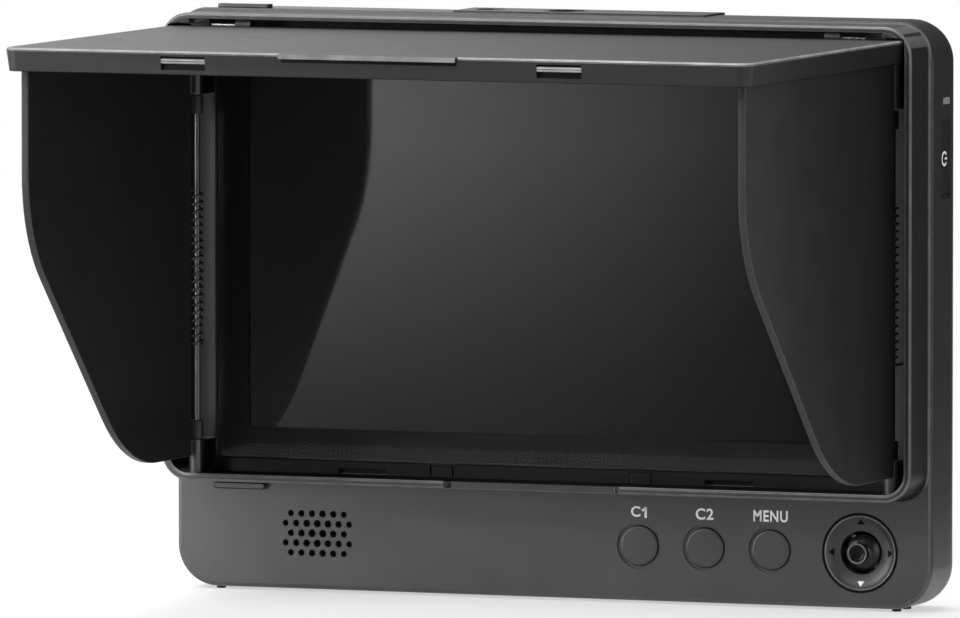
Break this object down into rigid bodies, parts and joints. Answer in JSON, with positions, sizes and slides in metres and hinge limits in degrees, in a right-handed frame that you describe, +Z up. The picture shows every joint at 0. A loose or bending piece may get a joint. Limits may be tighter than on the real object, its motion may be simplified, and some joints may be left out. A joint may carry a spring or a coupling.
{
  "type": "camera field monitor",
  "caption": "Camera field monitor with a round-cornered body, a control strip with buttons and a joystick, and a folding sun hood of a visor and two side flaps.",
  "frame": {"origin": "on the axis of the threaded hole under the body, at its mouth", "axes": "+Z up along the threaded hole, -Y out of the screen towards the viewer, +X to the right as seen from the front"},
  "size_m": [0.1388, 0.1081, 0.1015],
  "materials": {
    "housing": "fine-grained matt",
    "hood": "satin",
    "flap": "satin",
    "rubber": "matt",
    "button": "satin",
    "glass": "polished",
    "lcd": "smooth",
    "backlight": "white sheet",
    "steel": "plain",
    "black_steel": "blackened",
    "brass": "plain",
    "board": "solder mask",
    "chip": "moulded",
    "flex": "film",
    "tin": "pressed sheet",
    "pad": "soft",
    "dark_metal": "anodised",
    "lens": "clear white",
    "stick": "polished"
  },
  "bodies": {
    "monitor": {"front_housing": "housing", "rear_housing": "housing", "hood_frame": "hood", "hood_catches": "hood", "left_flap_pin": "steel", "left_flap_spring": "steel", "right_flap_pin": "steel", "right_flap_spring": "steel", "cover_glass": "glass", "glass_gasket": "rubber", "lcd_panel": "lcd", "backlight": "backlight", "lcd_bracket": "tin", "lcd_flex": "flex", "main_board": "board", "board_screws": "steel", "main_chips": "chip", "shield_can": "tin", "heat_pad": "pad", "key_board": "board", "key_switches": "chip", "joystick_bezel": "dark_metal", "joystick_base": "chip", "speaker": "chip", "speaker_mesh": "black_steel", "power_switch": "chip", "indicator_lens": "lens", "video_sockets": "tin", "headphone_jack": "chip", "port_cover_pin": "steel", "top_thread_insert": "black_steel", "base_thread_insert": "brass", "rear_screws": "black_steel", "battery_plate": "chip", "battery_contacts": "brass", "plate_screws": "steel", "feet": "rubber"},
    "visor": {"visor": "hood", "visor_hinge_pins": "steel"},
    "left_flap": {"left_flap": "flap"},
    "right_flap": {"right_flap": "flap"},
    "button_1": {"button_1": "button"},
    "button_2": {"button_2": "button"},
    "button_3": {"button_3": "button"},
    "joystick_gimbal": {"joystick_gimbal": "steel"},
    "joystick_stick": {"joystick_stick": "chip"},
    "joystick_cap": {"joystick_cap": "stick"},
    "power_button": {"power_button": "button"},
    "port_cover": {"port_cover": "rubber"},
    "battery_latch": {"battery_latch": "button"}
  },
  "joints": [
    {"name": "visor_lift", "type": "hinge", "parent": "monitor", "child": "visor", "pos_m": [0, -0.01425, 0.09775], "axis": [-1, 0, 0], "range_deg": [0, 8]},
    {"name": "left_flap_fold", "type": "hinge", "parent": "monitor", "child": "left_flap", "pos_m": [-0.0632, -0.0132, 0.06], "axis": [0, 0, 1], "range_deg": [0, 90], "stiffness_Nm_per_rad": 0.0015, "springref_deg": -34.38},
    {"name": "right_flap_fold", "type": "hinge", "parent": "monitor", "child": "right_flap", "pos_m": [0.06395, -0.0122, 0.06], "axis": [0, 0, -1], "range_deg": [0, 90], "stiffness_Nm_per_rad": 0.0015, "springref_deg": -34.38},
    {"name": "button_1_press", "type": "slide", "parent": "monitor", "child": "button_1", "axis": [0, 1, 0], "range_m": [0, 0.0004], "stiffness_N_per_m": 300, "springref_m": -0.0002},
    {"name": "button_2_press", "type": "slide", "parent": "monitor", "child": "button_2", "axis": [0, 1, 0], "range_m": [0, 0.0004], "stiffness_N_per_m": 300, "springref_m": -0.0002},
    {"name": "button_3_press", "type": "slide", "parent": "monitor", "child": "button_3", "axis": [0, 1, 0], "range_m": [0, 0.0004], "stiffness_N_per_m": 300, "springref_m": -0.0002},
    {"name": "joystick_up_down", "type": "hinge", "parent": "monitor", "child": "joystick_gimbal", "pos_m": [0.05645, -0.0036, 0.00948], "axis": [1, 0, 0], "range_deg": [-7, 7], "stiffness_Nm_per_rad": 0.002},
    {"name": "joystick_left_right", "type": "hinge", "parent": "joystick_gimbal", "child": "joystick_stick", "pos_m": [0.05645, -0.0036, 0.00948], "axis": [0, 0, 1], "range_deg": [-7, 7], "stiffness_Nm_per_rad": 0.002},
    {"name": "joystick_cap_press", "type": "slide", "parent": "joystick_stick", "child": "joystick_cap", "axis": [0, 1, 0], "range_m": [0, 0.00025], "stiffness_N_per_m": 300, "springref_m": -0.0002},
    {"name": "power_button_press", "type": "slide", "parent": "monitor", "child": "power_button", "axis": [-1, 0, 0], "range_m": [0, 0.0004], "stiffness_N_per_m": 300, "springref_m": -0.0002},
    {"name": "port_cover_open", "type": "hinge", "parent": "monitor", "child": "port_cover", "pos_m": [-0.0687, -0.0038, 0.0565], "axis": [0, 0, 1], "range_deg": [0, 90]},
    {"name": "battery_latch_slide", "type": "slide", "parent": "monitor", "child": "battery_latch", "axis": [0, 0, -1], "range_m": [0, 0.002], "stiffness_N_per_m": 300, "springref_m": -0.001}
  ]
}
